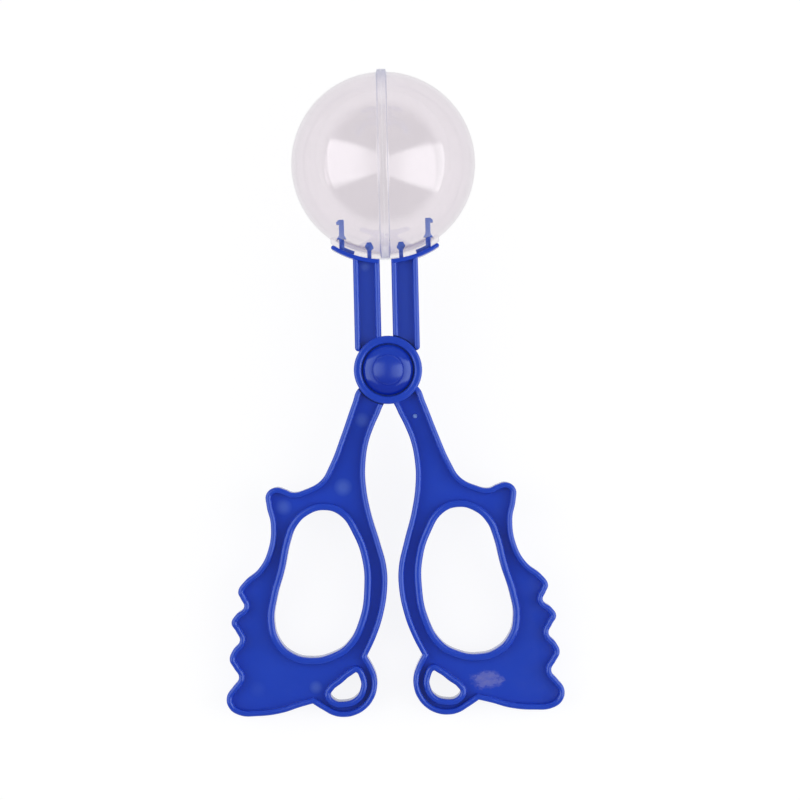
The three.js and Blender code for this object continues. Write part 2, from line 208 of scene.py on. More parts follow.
def softbox(name, sideways, upwards, width, watts):
    """Adds a soft lamp that faces the tongs, at angles off the view, and fades and narrows towards the view."""
    across, up = math.radians(sideways), math.radians(upwards)
    towards = Vector((math.sin(across) * math.cos(up), math.sin(up), math.cos(across) * math.cos(up)))
    bpy.ops.object.light_add(type="AREA")
    lamp = bpy.context.object
    lamp.name = name
    outward = Vector((0, math.copysign(1, sideways), 0)).cross(towards).normalized()
    facing = Matrix((outward, towards.cross(outward), towards)).transposed().to_4x4()
    lamp.matrix_world = on_table @ Matrix.Translation(towards * SOFTBOX_DISTANCE) @ facing
    lamp.data.shape = "RECTANGLE"
    lamp.data.size = width
    lamp.data.size_y = SOFTBOX_HEIGHT
    lamp.data.energy = watts
    lamp.data.use_nodes = True
    tree = lamp.data.node_tree
    tree.nodes.clear()
    place = add_node(tree, "ShaderNodeNewGeometry").outputs["Parametric"]
    along = add_node(tree, "ShaderNodeSeparateXYZ", {0: place})
    outwards = add_node(tree, "ShaderNodeMapRange", {
        "Value": along.outputs["X"], "From Min": FADE_SPAN[0], "From Max": FADE_SPAN[1],
        "To Min": INNER_LEVEL, "To Max": 1.0}, interpolation_type="SMOOTHSTEP")
    off_middle = add_node(tree, "ShaderNodeMath", {0: along.outputs["Y"], 1: 0.5}, operation="SUBTRACT")
    off_middle = add_node(tree, "ShaderNodeMath", {0: off_middle.outputs[0]}, operation="ABSOLUTE")
    flare = add_node(tree, "ShaderNodeMath", {0: along.outputs["X"], 1: -FLARE, 2: off_middle.outputs[0]},
                     operation="MULTIPLY_ADD")
    ends = add_node(tree, "ShaderNodeMapRange", {
        "Value": flare.outputs[0], "From Min": END_SPAN[0], "From Max": END_SPAN[1],
        "To Min": 1.0, "To Max": 0.0}, interpolation_type="SMOOTHSTEP")
    level = add_node(tree, "ShaderNodeMath", {0: outwards.outputs[0], 1: ends.outputs[0]}, operation="MULTIPLY")
    glow = add_node(tree, "ShaderNodeEmission", {"Strength": level.outputs[0]})
    add_node(tree, "ShaderNodeOutputLight", {"Surface": glow.outputs[0]})
    return lamp


softbox("left_softbox", sideways=-40, upwards=3, width=1.06, watts=4.6)
softbox("right_softbox", sideways=45, upwards=-3, width=1.28, watts=6.8)

# %% Room
OVERHEAD = colour("808084")
BACKDROP = colour("FFFFFF")
SWEEP_SPAN = (0.05, 0.35)

room = bpy.data.worlds.new("room")
scene.world = room
room.use_nodes = True
tree = room.node_tree
tree.nodes.clear()
direction = add_node(tree, "ShaderNodeTexCoord")
height = add_node(tree, "ShaderNodeVectorMath", {0: direction.outputs["Generated"], 1: pivot_axis},
                  operation="DOT_PRODUCT")
sweep = add_node(tree, "ShaderNodeMapRange", {
    "Value": height.outputs["Value"], "From Min": SWEEP_SPAN[0], "From Max": SWEEP_SPAN[1]},
    interpolation_type="SMOOTHSTEP")
walls = add_node(tree, "ShaderNodeMix", {"Factor": sweep.outputs[0], "A": BACKDROP, "B": OVERHEAD}, data_type="RGBA")
sky = add_node(tree, "ShaderNodeBackground", {"Color": walls.outputs["Result"], "Strength": 1.0})
add_node(tree, "ShaderNodeOutputWorld", {"Surface": sky.outputs[0]})
print("Room made, pale round the table and dim overhead")

# %% [markdown]
# ## Blue plastic
# The arms and the pin are injection-moulded polypropylene, coloured through. A polished mould leaves a glossy skin
# that is never quite even: the melt leaves slow clouds of lighter and deeper blue, the gloss varies from place to
# place, and the surface has a faint ripple. The thin ribs also let a little light through. Some places are duller and
# paler than the rest, through an attribute of their own: the discs that the ejector pins left, and painted light as
# well: a painted glint on the speck at the gate, painted light on the thin hooks and, very slightly, on the narrow
# webs of the jaws against the shade of their recess. A duller patch on the right tail carries a painted sheen, a pale
# painted reflection of a softbox. Two more attributes give the pin painted shade, a little all over and most of all
# on its lower side, and make its button satin.

# %% Glossy blue polypropylene
FLOW_CLOUD_MM = 22
GLOSS_PATCH_MM = 5
PATCH_SPAN = (0.3, 0.7)
POLISHED = (0.07, 0.15)
DULL = 0.45
RIPPLE_MM = 2.4
RIPPLE_DEPTH_MM = 0.012
GLOW_DEPTH_MM = 0.8
GLOW_SHARE = 0.12
GLOW_REACH = (0.35, 0.6, 1.0)
# A duller patch on the right tail, with a painted sheen: pale lilac mixed in as a painted reflection of a softbox.
SHEEN_GRAIN_MM = 3.2
SHEEN_PLACE = on_table @ Vector((31.4 * MM, -106.2 * MM, 1.1 * MM))
SHEEN_SIZE = (9.5 * MM, 5.5 * MM, 4 * MM)
SHEEN_CORE = 0.3
SHEEN_LEVEL = 0.62
SHEEN_SPAN = (0.8, 1.25)
PAINTED_SHEEN_SHARE = 0.32

blue_plastic, tree = new_material("moulded_polypropylene_blue")
place = add_node(tree, "ShaderNodeTexCoord").outputs["Object"]
cloud = add_node(tree, "ShaderNodeTexNoise", {"Vector": place, "Scale": 1 / (FLOW_CLOUD_MM * MM), "Detail": 3.0,
                                              "Roughness": 0.55})
blues = add_node(tree, "ShaderNodeMix", {"Factor": cloud.outputs["Fac"], "A": colour("1D44C8"),
                                         "B": colour("234EDA")}, data_type="RGBA")
# Painted shade: the pin is mixed towards a deeper blue, a little all over and most on its lower side.
deep = add_node(tree, "ShaderNodeAttribute", attribute_name="pin_painted_shade")
blues = add_node(tree, "ShaderNodeMix", {"Factor": deep.outputs["Fac"], "A": blues.outputs["Result"],
                                         "B": colour("0A2AB0")}, data_type="RGBA")
patch = add_node(tree, "ShaderNodeTexNoise", {"Vector": place, "Scale": 1 / (GLOSS_PATCH_MM * MM), "Detail": 4.0})
gloss = add_node(tree, "ShaderNodeMapRange", {
    "Value": patch.outputs["Fac"], "From Min": PATCH_SPAN[0], "From Max": PATCH_SPAN[1],
    "To Min": POLISHED[0], "To Max": POLISHED[1]})

# Mask of the duller patch on the right tail, fading out from its core and broken up by noise.
near = add_node(tree, "ShaderNodeMapping", {"Vector": place, "Location": SHEEN_PLACE, "Scale": SHEEN_SIZE},
                vector_type="TEXTURE")
far = add_node(tree, "ShaderNodeVectorMath", {0: near.outputs[0]}, operation="LENGTH")
fade = add_node(tree, "ShaderNodeMapRange", {"Value": far.outputs["Value"], "From Min": SHEEN_CORE, "From Max": 1.0,
                                             "To Min": SHEEN_LEVEL, "To Max": 0.0})
grain = add_node(tree, "ShaderNodeTexNoise", {"Vector": near.outputs[0], "Scale": SHEEN_SIZE[0] / (SHEEN_GRAIN_MM * MM),
                                              "Detail": 5.0, "Roughness": 0.65})
dull_sheen_patch = add_node(tree, "ShaderNodeMath", {0: fade.outputs[0], 1: grain.outputs["Fac"]}, operation="ADD")
dull_sheen_patch = add_node(tree, "ShaderNodeMapRange", {"Value": dull_sheen_patch.outputs[0], "From Min": SHEEN_SPAN[0],
                                               "From Max": SHEEN_SPAN[1]})
painted_sheen = add_node(tree, "ShaderNodeMath", {0: dull_sheen_patch.outputs[0], 1: PAINTED_SHEEN_SHARE}, operation="MULTIPLY")
# Painted sheen: the patch is mixed towards pale lilac, a painted reflection of a softbox.
shade = add_node(tree, "ShaderNodeMix", {"Factor": painted_sheen.outputs[0], "A": blues.outputs["Result"],
                                         "B": colour("BEB4CD")}, data_type="RGBA")
# Paler places: the ejector marks, plus a painted glint on the gate speck and painted light on the thin hooks and jaw
# webs.
marks_and_painted_light = add_node(tree, "ShaderNodeAttribute", attribute_name="paleness")
shade = add_node(tree, "ShaderNodeMix", {"Factor": marks_and_painted_light.outputs["Fac"], "A": shade.outputs["Result"],
                                         "B": colour("8CB0F5")}, data_type="RGBA")
dull = add_node(tree, "ShaderNodeMath", {0: dull_sheen_patch.outputs[0], 1: marks_and_painted_light.outputs["Fac"]}, operation="MAXIMUM")
satin = add_node(tree, "ShaderNodeAttribute", attribute_name="satin")
dull = add_node(tree, "ShaderNodeMath", {0: dull.outputs[0], 1: satin.outputs["Fac"]}, operation="MAXIMUM")
rough = add_node(tree, "ShaderNodeMix", {"Factor": dull.outputs[0], "A": gloss.outputs[0], "B": DULL})

ripple = add_node(tree, "ShaderNodeTexNoise", {"Vector": place, "Scale": 1 / (RIPPLE_MM * MM), "Detail": 1.0})
relief = add_node(tree, "ShaderNodeBump", {"Height": ripple.outputs["Fac"], "Distance": RIPPLE_DEPTH_MM * MM,
                                           "Strength": 1.0})
skin = add_node(tree, "ShaderNodeBsdfPrincipled", {
    "Base Color": shade.outputs["Result"], "Roughness": rough.outputs["Result"], "Normal": relief.outputs[0],
    "IOR": 1.49, "Specular IOR Level": 0.95, "Specular Tint": colour("D2EAFF"),
    "Subsurface Weight": GLOW_SHARE, "Subsurface Radius": GLOW_REACH, "Subsurface Scale": GLOW_DEPTH_MM * MM})
add_node(tree, "ShaderNodeOutputMaterial", {"Surface": skin.outputs[0]})
print("Material:", blue_plastic.name)

# %% [markdown]
# ## Clear plastic
# The half balls are moulded polystyrene with a wall of about 1 mm, polished by the mould. So thin a wall hardly bends
# what is seen through it, so light passes it straight, with a faint grey tint. Each of its two faces mirrors about 5 %
# square on and far more at a slant. Both mirror the same picture, so the outer face carries both, and an attribute
# says how many wall faces a face stands for. Where the plastic is seen edge-on, it is thicker and its tint deeper.
# Handling leaves a very light haze in patches, so its roughness is close to zero but not even.

# %% Clear polystyrene
HAZE_PATCH_MM = 9
HAZE_SPAN = (0.35, 0.75)
HAZE_ROUGHNESS = (0.05, 0.11)
WALL_GLOSS = 0.092
GLOSS_POWER = 5.0
DEPTH_POWER = 2.5

clear_plastic, tree = new_material("moulded_polystyrene_clear")
place = add_node(tree, "ShaderNodeTexCoord").outputs["Object"]
haze = add_node(tree, "ShaderNodeTexNoise", {"Vector": place, "Scale": 1 / (HAZE_PATCH_MM * MM), "Detail": 3.0})
clarity = add_node(tree, "ShaderNodeMapRange", {
    "Value": haze.outputs["Fac"], "From Min": HAZE_SPAN[0], "From Max": HAZE_SPAN[1],
    "To Min": HAZE_ROUGHNESS[0], "To Max": HAZE_ROUGHNESS[1]})
wall = add_node(tree, "ShaderNodeAttribute", attribute_name="wall_share").outputs["Fac"]
slant = add_node(tree, "ShaderNodeLayerWeight", {"Blend": 0.5}).outputs["Facing"]
edge_on = add_node(tree, "ShaderNodeMath", {0: slant, 1: GLOSS_POWER}, operation="POWER")
mirrored = add_node(tree, "ShaderNodeMapRange", {"Value": edge_on.outputs[0], "To Min": WALL_GLOSS, "To Max": 1.0})
shine = add_node(tree, "ShaderNodeMath", {0: mirrored.outputs[0], 1: wall}, operation="MULTIPLY")
tint = add_node(tree, "ShaderNodeMix", {"Factor": haze.outputs["Fac"], "A": colour("F5F1F4"),
                                        "B": colour("F1EDF0")}, data_type="RGBA")
solid = add_node(tree, "ShaderNodeAttribute", attribute_name="solid_share").outputs["Fac"]
depth = add_node(tree, "ShaderNodeMath", {0: slant, 1: DEPTH_POWER}, operation="POWER")
depth = add_node(tree, "ShaderNodeMath", {0: depth.outputs[0], 1: solid}, operation="MULTIPLY")
deep = add_node(tree, "ShaderNodeMix", {"Factor": depth.outputs[0], "A": tint.outputs["Result"],
                                        "B": colour("A8ACCE")}, data_type="RGBA")
seen = add_node(tree, "ShaderNodeMix", {"Factor": wall, "A": colour("FFFFFF"), "B": deep.outputs["Result"]},
                data_type="RGBA")
through = add_node(tree, "ShaderNodeBsdfTransparent", {"Color": seen.outputs["Result"]})
mirror = add_node(tree, "ShaderNodeBsdfGlossy", {"Color": colour("FFFFFF"), "Roughness": clarity.outputs[0]})
pane = add_node(tree, "ShaderNodeMixShader", {0: shine.outputs[0], 1: through.outputs[0], 2: mirror.outputs[0]})
path = add_node(tree, "ShaderNodeLightPath")
lit = add_node(tree, "ShaderNodeBsdfTransparent", {"Color": colour("FCFBFC")})
lamplit = add_node(tree, "ShaderNodeMixShader", {0: path.outputs["Is Shadow Ray"], 1: pane.outputs[0],
                                                 2: lit.outputs[0]})
add_node(tree, "ShaderNodeOutputMaterial", {"Surface": lamplit.outputs[0]})
print("Material:", clear_plastic.name)

# %% [markdown]
# ## Helpers for modelling
# Every piece below is modelled as by hand: a primitive, edit mode, a few operators, and modifiers that are applied.
# An operator works on what is selected, so faces and edges are picked in code by where they are, with a small margin
# for what lies on a plane. A boolean step joins or cuts two closed pieces, and cutters reach well past what they cut.
# Once a piece is modelled, one function lays it on the table and gives it its material, its body in the frame and the
# node that it stands for.

# %% Picking, rounding and joining
SHARP_ANGLE = math.radians(30)
ON_PLANE = 0.01
PAST = 20


def edit(piece, mode="FACE"):
    """Goes into edit mode on one piece, with all of it selected."""
    only(piece)
    bpy.ops.object.mode_set(mode="EDIT")
    bpy.ops.mesh.select_mode(type=mode)
    bpy.ops.mesh.select_all(action="SELECT")


def leave():
    """Turns faces outwards and leaves edit mode."""
    bpy.ops.mesh.select_all(action="SELECT")
    bpy.ops.mesh.normals_make_consistent(inside=False)
    bpy.ops.object.mode_set(mode="OBJECT")


def pick_faces(test):
    """Selects the faces whose middle, in millimetres, and normal pass a test."""
    bpy.ops.mesh.select_mode(type="FACE")
    bpy.ops.mesh.select_all(action="DESELECT")
    mesh = bmesh.from_edit_mesh(bpy.context.object.data)
    for face in mesh.faces:
        if test(face.calc_center_median() / MM, face.normal):
            face.select_set(True)
    bmesh.update_edit_mesh(bpy.context.object.data)


def pick_edges(test):
    """Selects the sharp edges whose two ends, in millimetres, both pass a test."""
    bpy.ops.mesh.select_mode(type="EDGE")
    bpy.ops.mesh.select_all(action="DESELECT")
    mesh = bmesh.from_edit_mesh(bpy.context.object.data)
    for edge in mesh.edges:
        sharp = edge.is_manifold and edge.calc_face_angle() > SHARP_ANGLE
        if sharp and all(test(corner.co / MM) for corner in edge.verts):
            edge.select_set(True)
    bmesh.update_edit_mesh(bpy.context.object.data)


def round_over(radius, steps=5):
    """Rounds the selected edges; the radius is in millimetres."""
    bpy.ops.mesh.bevel(offset=radius * MM, segments=steps, profile=0.5, affect="EDGES", clamp_overlap=False)


def apply(piece, kind, **settings):
    """Adds a modifier with its settings and applies it."""
    only(piece)
    bpy.ops.object.modifier_add(type=kind)
    step = piece.modifiers[-1]
    for name, value in settings.items():
        setattr(step, name, value)
    bpy.ops.object.modifier_apply(modifier=step.name)
    return piece


def combine(piece, operation, *others):
    """Joins others to a piece, cuts them from it, or keeps what they share, and removes them."""
    for other in others:
        apply(piece, "BOOLEAN", object=other, operation=operation, solver="EXACT")
        bpy.data.objects.remove(other)
    return piece


def report(piece):
    """Prints the size of a piece and whether it is closed."""
    mesh = bmesh.new()
    mesh.from_mesh(piece.data)
    open_edges = sum(not edge.is_manifold for edge in mesh.edges)
    mesh.free()
    size = [round(side / MM, 1) for side in piece.dimensions]
    print(piece.name, "is", size, "mm,", len(piece.data.polygons), "faces,", open_edges, "open edges")


def cylinder(radius, low, high, x=0, y=0, sides=96):
    """A round bar along Z between two heights, in millimetres."""
    bpy.ops.mesh.primitive_cylinder_add(vertices=sides, radius=radius * MM, depth=(high - low) * MM,
                                        location=(x * MM, y * MM, (low + high) / 2 * MM))
    return settle(bpy.context.object)


def block(low, high):
    """A box between two corners, in millimetres."""
    bpy.ops.mesh.primitive_cube_add(size=1)
    box = bpy.context.object
    box.scale = [(b - a) * MM for a, b in zip(low, high)]
    box.location = [(a + b) / 2 * MM for a, b in zip(low, high)]
    return settle(box)


def dress(piece, smooth_below, material, body, node):
    """Lays a finished piece on the table, smooths it and says what it is in the frame."""
    lay_on_table(piece)
    bpy.ops.object.shade_smooth_by_angle(angle=smooth_below)
    piece.data.materials.clear()
    piece.data.materials.append(material)
    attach(piece, body)
    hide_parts(node)
    report(piece)


print("Helpers are ready")

# %% [markdown]
# ## Handle
# The handle is a web with a raised rim that follows a wavy outline on both faces. The outline is drawn as a smooth
# curve through points, like tracing with a pen tool, and then made a mesh. Only the upper half is modelled: the
# outline is filled, inset by the width of the rim, and the ring between the two lines is drawn up. Its edges are
# rounded there, where the mesh is a clean strip of quads. A mirror makes the lower half.

# %% Outline of the handle
INNER_EDGE = [
    (1.2, -8.5), (2.7, -13.6), (5.2, -19), (7.2, -24.5), (8.4, -31.5), (8.5, -38), (7, -48),
    (4.1, -58.5), (2.1, -67), (2, -74), (3.6, -83), (6, -90), (9.4, -97),
]
OUTER_EDGE = [
    (28.2, -112.6), (32.5, -113.7), (38.5, -115.5), (46.5, -116.4), (53.5, -115.8), (56.7, -113.2),
    (57.2, -109.4), (55.1, -106.3), (53, -103.2), (54.6, -100), (56, -97.1), (54.9, -93.9), (52.4, -90.6),
    (53.6, -87.6), (55.1, -84.6), (53.6, -81.9), (50.7, -79.2), (51.7, -76.6), (52.6, -74.1), (50.4, -70.6),
    (45.6, -66.6), (42.2, -60.5), (41, -51.5), (42.3, -45), (42.2, -41), (39.2, -39), (36, -39.7),
    (33.3, -40.8), (29, -39.9), (23.7, -37), (20.6, -32), (16.2, -21.3), (12.3, -10.8), (10.4, -6.3), (6.5, -4),
]
LOOP_CENTRE = (17.5, -106)
LOOP_RADIUS = 11.4
LOOP_POINTS = 9
SPAN_STEPS = 6
LINE_WELD = 0.01


def loop_points():
    """Points round the lanyard loop, from the end of the inner edge to the start of the outer one."""
    start = math.atan2(INNER_EDGE[-1][1] - LOOP_CENTRE[1], INNER_EDGE[-1][0] - LOOP_CENTRE[0])
    end = math.atan2(OUTER_EDGE[0][1] - LOOP_CENTRE[1], OUTER_EDGE[0][0] - LOOP_CENTRE[0]) + 2 * math.pi
    turns = [start + (end - start) * i / (LOOP_POINTS + 1) for i in range(1, LOOP_POINTS + 1)]
    return [(LOOP_CENTRE[0] + LOOP_RADIUS * math.cos(a), LOOP_CENTRE[1] + LOOP_RADIUS * math.sin(a)) for a in turns]


def filled_outline(name, points, corners=()):
    """A flat face inside a smooth closed line through points; some points can be left as corners."""
    bpy.ops.curve.primitive_bezier_circle_add()
    line = bpy.context.object
    line.name = name
    spline = line.data.splines[0]
    spline.bezier_points.add(len(points) - len(spline.bezier_points))
    for knot, (x, y) in zip(spline.bezier_points, points):
        knot.co = (x * MM, y * MM, 0)
    line.data.resolution_u = SPAN_STEPS
    bpy.ops.object.mode_set(mode="EDIT")
    bpy.ops.curve.select_all(action="SELECT")
    bpy.ops.curve.handle_type_set(type="AUTOMATIC")
    bpy.ops.curve.select_all(action="DESELECT")
    for i in corners:
        spline = line.data.splines[0]
        spline.bezier_points[i].select_control_point = True
        bpy.ops.curve.handle_type_set(type="VECTOR")
    bpy.ops.object.mode_set(mode="OBJECT")
    bpy.ops.object.convert(target="MESH")
    piece = bpy.context.object
    edit(piece, "VERT")
    bpy.ops.mesh.remove_doubles(threshold=LINE_WELD * MM)
    bpy.ops.mesh.edge_face_add()
    bpy.ops.object.mode_set(mode="OBJECT")
    if piece.data.polygons[0].normal.z < 0:
        piece.data.flip_normals()
    return piece


handle_points = INNER_EDGE + loop_points() + OUTER_EDGE
loop_ends = (len(INNER_EDGE) - 1, len(INNER_EDGE) + LOOP_POINTS)
handle = filled_outline("handle", handle_points, loop_ends)
report(handle)

# %% Ribbed handle
HALF_ARM = 4.5
HALF_WEB = 1.1
RIM_WIDTH = 1.9
RIM_ROUND = 0.85
MIRROR_WELD = 0.002


def raise_rim(piece, width, open_middle=False):
    """Draws a rim up round a flat outline, rounds it and mirrors it to the other face."""
    low = 0 if open_middle else HALF_WEB
    edit(piece)
    bpy.ops.transform.translate(value=(0, 0, low * MM))
    bpy.ops.mesh.inset(thickness=width * MM, use_even_offset=True)
    if open_middle:
        bpy.ops.mesh.delete(type="FACE")
        bpy.ops.mesh.select_all(action="SELECT")
    else:
        bpy.ops.mesh.select_all(action="INVERT")
    bpy.ops.mesh.extrude_region_move(TRANSFORM_OT_translate={"value": (0, 0, (HALF_ARM - low) * MM)})
    pick_edges(lambda end: end.z > HALF_ARM - ON_PLANE)
    round_over(RIM_ROUND)
    if open_middle:
        pick_faces(lambda place, normal: place.z < ON_PLANE)
        bpy.ops.mesh.delete(type="FACE")
    else:
        bpy.ops.mesh.select_mode(type="EDGE")
        bpy.ops.mesh.select_all(action="DESELECT")
        bpy.ops.mesh.select_non_manifold()
        bpy.ops.mesh.extrude_edges_move(TRANSFORM_OT_translate={"value": (0, 0, -low * MM)})
    leave()
    apply(piece, "MIRROR", use_axis=(False, False, True), merge_threshold=MIRROR_WELD * MM)
    edit(piece)
    leave()
    report(piece)
    return piece


raise_rim(handle, RIM_WIDTH)

# %% [markdown]
# ## Finger hole and lanyard hole
# Both holes have a rim of their own. Each rim is a ring: the hole's outline is spread by the width of the rim and
# filled, the middle is inset away, and the ring is drawn up as the handle's rim was. The web is first cut back to
# halfway under the ring, so the ring carries the wall of the hole.

# %% Rimmed holes
FINGER_HOLE = [
    (22.7, -47.1), (17.6, -48.9), (13, -55.8), (10.2, -64.5), (9.8, -73.5), (11.6, -84.2), (16.2, -92.6),
    (22, -96), (28, -97), (34.2, -95.5), (38.8, -91), (40.5, -84.5), (39.4, -76.5), (36.6, -67), (34.4, -57.5),
    (32.4, -52.6), (28.3, -48.6),
]
LANYARD_HOLE = [
    (13.3, -102.3), (11.9, -104.7), (11.8, -107.7), (13.4, -110.6), (17.4, -112.1), (20.9, -111.4),
    (22, -109.6), (21, -108), (18.1, -105.8), (15.2, -103.5),
]
FINGER_RIM = 2.4
LOOP_RIM = 2.1


def spread(points, distance):
    """Moves the points of a closed outline outwards."""
    moved = []
    for i, (x, y) in enumerate(points):
        along = Vector(points[(i + 1) % len(points)]) - Vector(points[i - 1])
        along.normalize()
        moved.append((x + along.y * distance, y - along.x * distance))
    return moved


def thick(piece, low, high):
    """Makes a flat outline a closed bar between two heights."""
    edit(piece)
    bpy.ops.transform.translate(value=(0, 0, low * MM))
    bpy.ops.mesh.extrude_region_move(TRANSFORM_OT_translate={"value": (0, 0, (high - low) * MM)})
    leave()
    return piece


for name, hole, width in (("finger", FINGER_HOLE, FINGER_RIM), ("lanyard", LANYARD_HOLE, LOOP_RIM)):
    cut = thick(filled_outline(name + "_cut", spread(hole, width / 2)), -HALF_ARM, HALF_ARM)
    combine(handle, "DIFFERENCE", cut)
    ring = raise_rim(filled_outline(name + "_rim", spread(hole, width)), width, open_middle=True)
    combine(handle, "UNION", ring)
report(handle)

# %% [markdown]
# ## Jaw
# The jaw is a straight bar of H section. A box gets a rounded foot, then one channel is cut in each face. The
# channels run out at both ends, because the hub and the cradle close them later.

# %% Straight jaw
JAW_INNER = 1.95
JAW_OUTER = 11.05
JAW_FOOT = 6.5
JAW_TOP = 42
JAW_FOOT_ROUND = 1.2
CHANNEL_PAST = 1

jaw = block((-JAW_OUTER, JAW_FOOT, -HALF_ARM), (-JAW_INNER, JAW_TOP, HALF_ARM))
jaw.name = "jaw"
edit(jaw)
pick_edges(lambda end: end.x < ON_PLANE - JAW_OUTER and end.y < JAW_FOOT + ON_PLANE)
round_over(JAW_FOOT_ROUND)
leave()
for low, high in ((HALF_WEB, PAST), (-PAST, -HALF_WEB)):
    channel = block((RIM_WIDTH - JAW_OUTER, JAW_FOOT - CHANNEL_PAST, low),
                    (-JAW_INNER - RIM_WIDTH, JAW_TOP + CHANNEL_PAST, high))
    combine(jaw, "DIFFERENCE", channel)
edit(jaw)
pick_edges(lambda end: abs(end.z) > HALF_ARM - ON_PLANE and end.y < JAW_TOP + ON_PLANE)
round_over(RIM_ROUND)
leave()
report(jaw)

# %% [markdown]
# ## Hub
# Each hub is a disc of half the arm's thickness, so that the two lap, with a raised ring round a recess for the
# pin's head. A cylinder is inset and pushed in from above, and the bore is bridged through.

# %% Hub disc
HUB_RADIUS = 11.6
HUB_RING = 2.6
HUB_FACE = 5
HUB_FLOOR = 2.2
HALF_LAP = 0.2
SWING_GAP = 0.4
BORE_RADIUS = 4.3
HUB_ROUND = 0.7
FACING = 0.9

hub = cylinder(HUB_RADIUS, HALF_LAP, HUB_FACE, sides=128)
hub.name = "hub"
edit(hub)
pick_faces(lambda place, normal: normal.z > FACING)
bpy.ops.mesh.inset(thickness=HUB_RING * MM)
bpy.ops.mesh.extrude_region_move(TRANSFORM_OT_translate={"value": (0, 0, (HUB_FLOOR - HUB_FACE) * MM)})
bpy.ops.mesh.inset(thickness=(HUB_RADIUS - HUB_RING - BORE_RADIUS) * MM)
bpy.ops.mesh.delete(type="FACE")
pick_faces(lambda place, normal: normal.z < -FACING)
bpy.ops.mesh.inset(thickness=(HUB_RADIUS - BORE_RADIUS) * MM)
bpy.ops.mesh.delete(type="FACE")
bpy.ops.mesh.select_mode(type="EDGE")
bpy.ops.mesh.select_non_manifold()
bpy.ops.mesh.bridge_edge_loops()
pick_edges(lambda end: end.z > HUB_FACE - ON_PLANE)
round_over(HUB_ROUND)
leave()
report(hub)

# %% [markdown]
# ## Cradle and snap hooks
# Under the ball, the jaw ends in a thin curved plate, the cradle. A small upright rectangle is spun about the
# ball's middle to make it, and so is the thick foot beside the outer hook. The hooks are flat outlines with barbs,
# drawn to the depth of the window that they reach through.

# %% Curved plates
BALL_HEIGHT = 70.1
CRADLE_INNER = 32.6
CRADLE_OUTER = 34.0
CRADLE_MIDDLE = 33.3
CRADLE_REACH = 18.2
CRADLE_DEPTH = 10.6
CRADLE_END = 1
CRADLE_END_ROUND = 0.6
CRADLE_EDGE_ROUND = 0.25


def angle_at(radius, left):
    """Angle about the ball's middle where a circle lies a distance left of the split."""
    return -math.pi / 2 - math.asin(left / radius)


def curved_block(name, inner, outer, depth, far, near, steps=24):
    """A block that follows a circle about the ball's middle, between two distances from the split."""
    radius = (inner + outer) / 2
    start, end = angle_at(radius, far), angle_at(radius, near)
    bpy.ops.mesh.primitive_plane_add(size=1, rotation=(math.pi / 2, 0, start))
    piece = bpy.context.object
    piece.name = name
    piece.scale = ((outer - inner) * MM, depth * MM, 1)
    piece.location = (radius * math.cos(start) * MM, (BALL_HEIGHT + radius * math.sin(start)) * MM, 0)
    settle(piece)
    edit(piece)
    bpy.ops.mesh.spin(steps=steps, angle=start - end, center=(0, BALL_HEIGHT * MM, 0), axis=(0, 0, 1))
    leave()
    return piece


cradle = curved_block("cradle", CRADLE_INNER, CRADLE_OUTER, CRADLE_DEPTH, CRADLE_REACH, JAW_INNER)
edit(cradle)
pick_edges(lambda end: end.x < CRADLE_END - CRADLE_REACH)
round_over(CRADLE_END_ROUND)
pick_edges(lambda end: abs(end.z) > CRADLE_DEPTH / 2 - ON_PLANE)
round_over(CRADLE_EDGE_ROUND, steps=2)
leave()
report(cradle)

# %% Barbed hooks
HOOK_DEPTH = 4.2
HOOK_EDGE_ROUND = 0.15
POST_AT = 14.7
POST_HALF = 0.85
POST_NECK = 3.8
COLLAR_HALF = 1.65
COLLAR_RISE = 1.4
TIP_REACH = 1.75
TIP_LOW, TIP_HIGH, TIP_END = 5.0, 5.8, 6.6
FOOT_LENGTH = 4
FOOT_RISE = 1.3
HOOK_AT = 5.4
HOOK_HALF = 0.7
BARB_HALF = 1.55
BARB_INNER_RISE, BARB_OUTER_RISE, BARB_END = 0.9, 1.35, 2.7
SHELL_INSIDE = 30.1
SEAT_GAP = 0.3


def under_ball(radius, left):
    """Height above the pivot of a circle about the ball's middle, on its lower side."""
    return BALL_HEIGHT - math.sqrt(radius ** 2 - left ** 2)


def flat_hook(name, middle, outline):
    """A flat barbed bar whose outline is given about its own middle line."""
    bpy.ops.mesh.primitive_circle_add(vertices=len(outline), fill_type="NGON")
    piece = bpy.context.object
    piece.name = name
    for corner, (x, y) in zip(piece.data.vertices, outline):
        corner.co = ((x - middle) * MM, y * MM, 0)
    thick(piece, -HOOK_DEPTH / 2, HOOK_DEPTH / 2)
    edit(piece)
    pick_edges(lambda end: True)
    round_over(HOOK_EDGE_ROUND, steps=2)
    leave()
    report(piece)
    return piece


